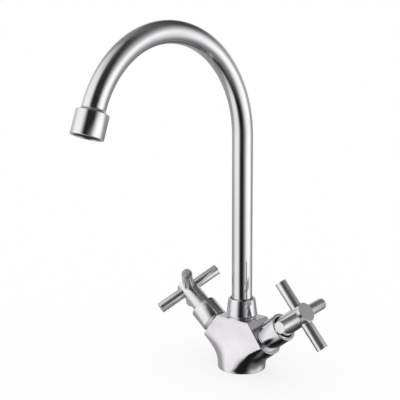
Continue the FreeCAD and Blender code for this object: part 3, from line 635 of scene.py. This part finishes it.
# %% Angles seen from the tap
world = bpy.data.worlds.new("studio")
bpy.context.scene.world = world
world.use_nodes = True
tree = world.node_tree
tree.nodes.clear()
seen = add(tree, "ShaderNodeTexCoord").outputs["Generated"]
parts = add(tree, "ShaderNodeSeparateXYZ", {0: seen}).outputs
round_z = math_node(tree, "DEGREES", math_node(tree, "ARCTAN2", parts["Y"], parts["X"]))
azimuth = math_node(tree, "SUBTRACT", round_z, math.degrees(VIEW_AZIMUTH) - 90)
elevation = math_node(tree, "DEGREES", math_node(tree, "ARCSINE", parts["Z"]))

# %% [markdown]
# The big panel on the left is bright from the floor to well above the spout. The one on the
# right is lower and slants, and its upper edge fades out level with the spout. A wide dim
# patch behind each of them is the wall that it lights. The last two are the ceiling and the
# grey backdrop behind the tap.

# %% The panels
PANELS = {
    #               turn  half  edge  rise  half  edge  light  lean
    "left_box":    (-80,   45,   20,   40,   30,   30,  0.65,  0.0),
    "left_low":    (-65,   30,   15,  -25,   40,   30,  0.55, -0.2),
    "left_wall":   (-110,  75,   15,  -15,   70,   50,  0.35,  0.15),
    "right_box":   (65,    40,   25,  -15,   20,   15,  0.6,  -0.4),
    "right_strip": (75,    30,   20,   10,   10,   45,  1.2,   0.25),
    "right_wall":  (110,   50,   60,  -20,   45,   20,  0.3,   0.9),
    "ceiling":     (-105, 150,   60,   90,   35,   35,  0.15,  1.5),
    "backdrop":    (180,   50,   20,   10,   10,   10,  0.35,  0.0),
}
PANEL_SOCKETS = ("Turn", "Half width", "Side edge", "Rise", "Half height", "Top edge",
                 "Light", "Lean")
DARK_ROOM = 0.01

light = DARK_ROOM
for name, values in PANELS.items():
    made = add(tree, "ShaderNodeGroup", node_tree=soft_panel, name=name, label=name)
    tree.links.new(azimuth, made.inputs["Azimuth"])
    tree.links.new(elevation, made.inputs["Elevation"])
    for socket, value in zip(PANEL_SOCKETS, values):
        made.inputs[socket].default_value = value
    light = math_node(tree, "ADD", light, made.outputs["Light"])
mirror_light = add(tree, "ShaderNodeBackground", {"Color": (1, 1, 1, 1), "Strength": light})
plain_light = add(tree, "ShaderNodeBackground", {"Color": (1, 1, 1, 1), "Strength": 1.0})
path = add(tree, "ShaderNodeLightPath")
shown = add(tree, "ShaderNodeMixShader",
            {0: path.outputs["Is Glossy Ray"], 1: plain_light.outputs[0],
             2: mirror_light.outputs[0]})
add(tree, "ShaderNodeOutputWorld", {"Surface": shown.outputs[0]})
print("panels:", len(PANELS))

# %% [markdown]
# ## Floor
#
# The tap stands on a white sheet that is lit from below as well, so it is as white as the
# background, and only a faint soft shadow round the foot shows where it is. Mirrored rays pass
# through it to the panels, except close in front of the foot and under the near valve, where
# two small soft dark patches are painted shade: they stand for the tap's own shadow on the
# surface below it, which polished metal shows.

# %% Floor and the dark at the foot
FLOOR_HALF = 3.0
SHEET_GLOW = 0.7
SHADE_CORE = 0.4
SHADES = {"foot_shade": (30.0, (27.0, -40.0, 0.2)), "valve_shade": (24.0, (50.0, -9.0, 0.3))}


def stage_sheet(name, shape, place=(0, 0, 0), **size):
    """A flat piece of the studio, from a bmesh.ops.create_ shape."""
    bm = bmesh.new()
    shape(bm, **size)
    bmesh.ops.translate(bm, verts=bm.verts, vec=place)
    mesh = bpy.data.meshes.new(name)
    bm.to_mesh(mesh)
    bm.free()
    sheet = bpy.data.objects.new(name, mesh)
    bpy.context.scene.collection.objects.link(sheet)
    paint = bpy.data.materials.new(name + "_paint")
    paint.use_nodes = True
    sheet.data.materials.append(paint)
    return sheet, paint


floor, paint = stage_sheet("floor", bmesh.ops.create_grid, x_segments=1, y_segments=1,
                           size=FLOOR_HALF)
shader = paint.node_tree.nodes["Principled BSDF"]
shader.inputs["Base Color"].default_value = (1, 1, 1, 1)
shader.inputs["Roughness"].default_value = 1.0
shader.inputs["Specular IOR Level"].default_value = 0.0
tree = paint.node_tree
path = add(tree, "ShaderNodeLightPath")
share = math_node(tree, "MULTIPLY", path.outputs["Is Camera Ray"], SHEET_GLOW)
glow = add(tree, "ShaderNodeEmission", {"Color": (1, 1, 1, 1), "Strength": 1.0})
mixed = add(tree, "ShaderNodeMixShader", {0: share, 1: shader.outputs[0], 2: glow.outputs[0]})
tree.links.new(mixed.outputs[0], tree.nodes["Material Output"].inputs["Surface"])
floor.visible_glossy = False

# Each disc is painted shade: a soft dark patch on the floor that only mirrored rays see.
for name, (radius, place) in SHADES.items():
    radius *= MM
    place = [c * MM for c in place]
    shade, paint = stage_sheet(name, bmesh.ops.create_circle, place, cap_ends=True, segments=48,
                               radius=radius)
    tree = paint.node_tree
    tree.nodes.clear()
    where = add(tree, "ShaderNodeTexCoord").outputs["Object"]
    reach = add(tree, "ShaderNodeVectorMath", {0: where, 1: place}, operation="DISTANCE")
    fade = add(tree, "ShaderNodeMapRange",
               {"Value": reach.outputs["Value"], "From Min": SHADE_CORE * radius,
                "From Max": radius}, interpolation_type="SMOOTHSTEP").outputs[0]
    dark = add(tree, "ShaderNodeEmission", {"Color": (1, 1, 1, 1), "Strength": DARK_ROOM})
    clear = add(tree, "ShaderNodeBsdfTransparent")
    mixed = add(tree, "ShaderNodeMixShader", {0: fade, 1: dark.outputs[0], 2: clear.outputs[0]})
    add(tree, "ShaderNodeOutputMaterial", {"Surface": mixed.outputs[0]})
    shade.visible_camera = False
    shade.visible_diffuse = False
    shade.visible_shadow = False
print("floor in m:", 2 * FLOOR_HALF)

# %% Set the view transform
bpy.context.scene.view_settings.view_transform = "Standard"
